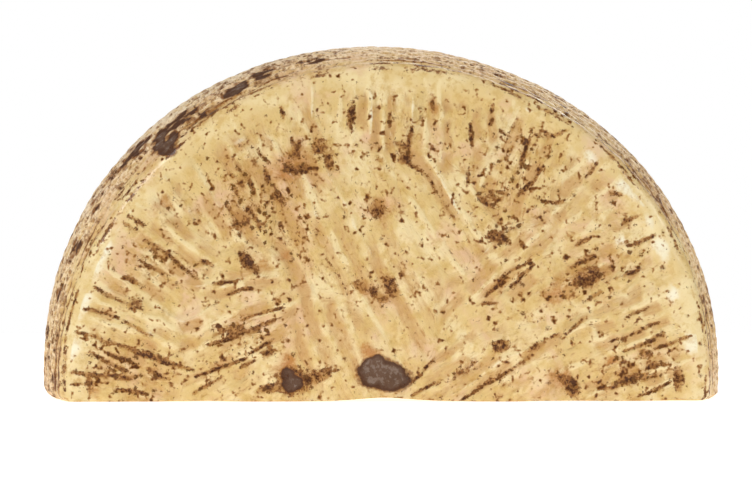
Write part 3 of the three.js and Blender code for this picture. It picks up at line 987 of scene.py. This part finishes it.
def cut_paste(colours, box_low, box_high):
    """Aged paste cut with a wire or a long knife.

    The eye sees a pale, waxy cut with fine cracks and a few small eyes, darker close under the rind.
    """
    material, add = new_material("aged_cut_paste")
    place = add("TexCoord", output="Object")
    curd = add("TexNoise", named={"Vector": place, "Scale": 1 / (9 * MM), "Detail": 5, "Roughness": 0.65})
    grain = add("TexNoise", named={"Vector": place, "Scale": 1 / (1.6 * MM), "Detail": 4, "Roughness": 0.7})

    # The paste darkens over the last 7 mm towards each side of the cut.
    parts = add("SeparateXYZ", place).node.outputs
    from_sides = []
    for axis, low, high in ((0, box_low.x, box_high.x), (1, box_low.y, box_high.y)):
        off_middle = add("Math", weighted(add, -(low + high) / 2, (parts[axis], 1)), operation="ABSOLUTE")
        from_sides.append(weighted(add, (high - low) / 2, (off_middle, -1)))
    inside = weighted(add, add("Math", *from_sides, operation="MINIMUM"), (curd, 4 * MM))
    paste = coats(add, colours.paste_edge, inside, (colours.paste, 3 * MM, 11 * MM, 1))
    paste = coats(add, paste, curd, (colours.straw, 0.5, 0.75, 0.5))

    # Eyes 1 to 3 mm across and the fine cracks of a dry, crumbling paste. Both are painted in the darker edge
    # colour, painted shade in the hollows.
    eyes = add("TexVoronoi", named={"Vector": place, "Scale": 1 / (13 * MM)})
    cracks = add("TexVoronoi", named={"Vector": place, "Scale": 1 / (16 * MM)}, feature="DISTANCE_TO_EDGE")
    whole = add("MapRange", cracks, 0, 0.02, 0, 0.4, **SMOOTH)
    sound = add("MapRange", eyes, 0.10, 0.16, 0, 1, **SMOOTH)
    sound = add("Math", sound, weighted(add, 0.6, (whole, 1)), operation="MULTIPLY")
    paste = add("Mix", named={0: sound, 6: colours.paste_edge, 7: paste}, **COLOUR_MIX)
    height = weighted(add, sound, (grain, 0.4))
    shader = add("BsdfPrincipled", named={
        "Base Color": paste, "Roughness": 0.55, "IOR": 1.45, "Subsurface Weight": 0.1,
        "Normal": add("Bump", named={"Height": height, "Strength": 0.5, "Distance": 0.8 * MM}),
        "Subsurface Scale": 2.5 * MM,
    })
    add("OutputMaterial", shader)
    return material


class CHEESE_OT_half_wheel(bpy.types.Operator):
    """Build the half wheel: rind and cut in one closed surface"""

    bl_idname = "cheese.half_wheel"
    bl_label = "Half Wheel"
    bl_options = {"REGISTER", "UNDO"}

    def execute(self, context):
        sizes = context.scene.wheel_sizes
        colours = context.scene.cheese_colours
        points, faces, rind_count, finish = wheel_surface(sizes)
        materials = [oiled_rind(colours, sizes.row_spacing), cut_paste(colours, NODE_LOW, NODE_HIGH)]
        piece = new_piece("cheese_half", fitted(points, NODE_LOW, NODE_HIGH), faces, materials)
        if len(piece.data.polygons) != len(faces):
            raise RuntimeError("the wheel's surface lost faces")
        slots = np.zeros(len(faces), dtype=int)
        slots[rind_count:] = 1
        piece.data.polygons.foreach_set("material_index", slots)
        for name, values in finish.items():
            store = piece.data.attributes.new(name, "FLOAT", "POINT")
            store.data.foreach_set("value", values.astype(np.float32))
        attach(piece, "root")
        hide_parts(CAD_NODE)
        return {"FINISHED"}


def studio_floor(sizes):
    """A square sheet of white paper, flat on the ground, a little luminous so that it stays pale."""
    half = sizes.floor_size / 2
    corners = np.array([(-half, -half, 0), (half, -half, 0), (half, half, 0), (-half, half, 0)])
    material, add = new_material("matt_white_paper")
    paper = {"Base Color": sizes.floor_colour, "Roughness": 0.9}
    glow = {"Emission Color": (1, 1, 1, 1), "Emission Strength": 0.6}
    add("OutputMaterial", add("BsdfPrincipled", named={**paper, **glow}))
    new_piece("floor", corners, [[0, 1, 2, 3]], [material])


def white_room(light_strength):
    """Even light from all round at the given strength, with a white background behind the wheel."""
    world = bpy.data.worlds.new("white_room")
    world.use_nodes = True
    world.node_tree.nodes.clear()
    add = functools.partial(add_node, world.node_tree)
    seen = add("LightPath", output="Is Camera Ray")
    strength = weighted(add, light_strength, (seen, 1 - light_strength))
    add("OutputWorld", add("Background", (1, 1, 1, 1), strength))
    bpy.context.scene.world = world


def soft_light(name, place, aim, size, watts):
    """A square soft box at a place, turned to shine on the aim."""
    data = bpy.data.lights.new(name, "AREA")
    data.shape = "SQUARE"
    data.size = size
    data.energy = watts
    light = bpy.data.objects.new(name, data)
    light.location = place
    light.rotation_euler = (Vector(aim) - Vector(place)).to_track_quat("-Z", "Y").to_euler()
    bpy.context.scene.collection.objects.link(light)


class CHEESE_OT_studio(bpy.types.Operator):
    """Build the floor, the lights and the camera"""

    bl_idname = "cheese.studio"
    bl_label = "Studio"
    bl_options = {"REGISTER", "UNDO"}

    def execute(self, context):
        sizes = context.scene.studio_sizes
        studio_floor(sizes)
        middle = (0, 0, (NODE_LOW.z + NODE_HIGH.z) / 2)
        for name, place, size, watts in LIGHTS:
            soft_light(name, place, middle, size, watts)
        white_room(ROOM_LIGHT)

        camera_data = bpy.data.cameras.new("camera")
        camera_data.lens = sizes.camera_lens
        camera_data.sensor_width = SENSOR_WIDTH
        camera = bpy.data.objects.new("camera", camera_data)
        turn = sizes.camera_turn
        camera.location = (
            sizes.camera_distance * math.sin(turn),
            -sizes.camera_distance * math.cos(turn),
            sizes.camera_height,
        )
        aim = Vector((AIM_SIDE, 0, sizes.aim_height))
        camera.rotation_euler = (aim - camera.location).to_track_quat("-Z", "Y").to_euler()
        context.scene.collection.objects.link(camera)
        context.scene.camera = camera
        context.scene.view_settings.view_transform = "Standard"
        return {"FINISHED"}


class CHEESE_PT_panel(bpy.types.Panel):
    """Lists the wheel's operators, sizes and colours"""

    bl_idname = "CHEESE_PT_panel"
    bl_label = "Half Cheese Wheel"
    bl_space_type = "VIEW_3D"
    bl_region_type = "UI"
    bl_category = "Cheese"

    def draw(self, context):
        layout = self.layout
        for operator, group in (
            (CHEESE_OT_half_wheel, context.scene.wheel_sizes),
            (None, context.scene.cheese_colours),
            (CHEESE_OT_studio, context.scene.studio_sizes),
        ):
            box = layout.box()
            if operator:
                box.operator(operator.bl_idname)
            for name in group.__annotations__:
                box.prop(group, name)


CLASSES = (WheelSizes, CheeseColours, StudioSizes, CHEESE_OT_half_wheel, CHEESE_OT_studio, CHEESE_PT_panel)


def register():
    for cls in CLASSES:
        bpy.utils.register_class(cls)
    bpy.types.Scene.wheel_sizes = PointerProperty(type=WheelSizes)
    bpy.types.Scene.cheese_colours = PointerProperty(type=CheeseColours)
    bpy.types.Scene.studio_sizes = PointerProperty(type=StudioSizes)


def unregister():
    del bpy.types.Scene.studio_sizes
    del bpy.types.Scene.cheese_colours
    del bpy.types.Scene.wheel_sizes
    for cls in reversed(CLASSES):
        bpy.utils.unregister_class(cls)


def main():
    register()
    bpy.ops.cheese.half_wheel()
    bpy.ops.cheese.studio()


if __name__ == "__main__":
    main()
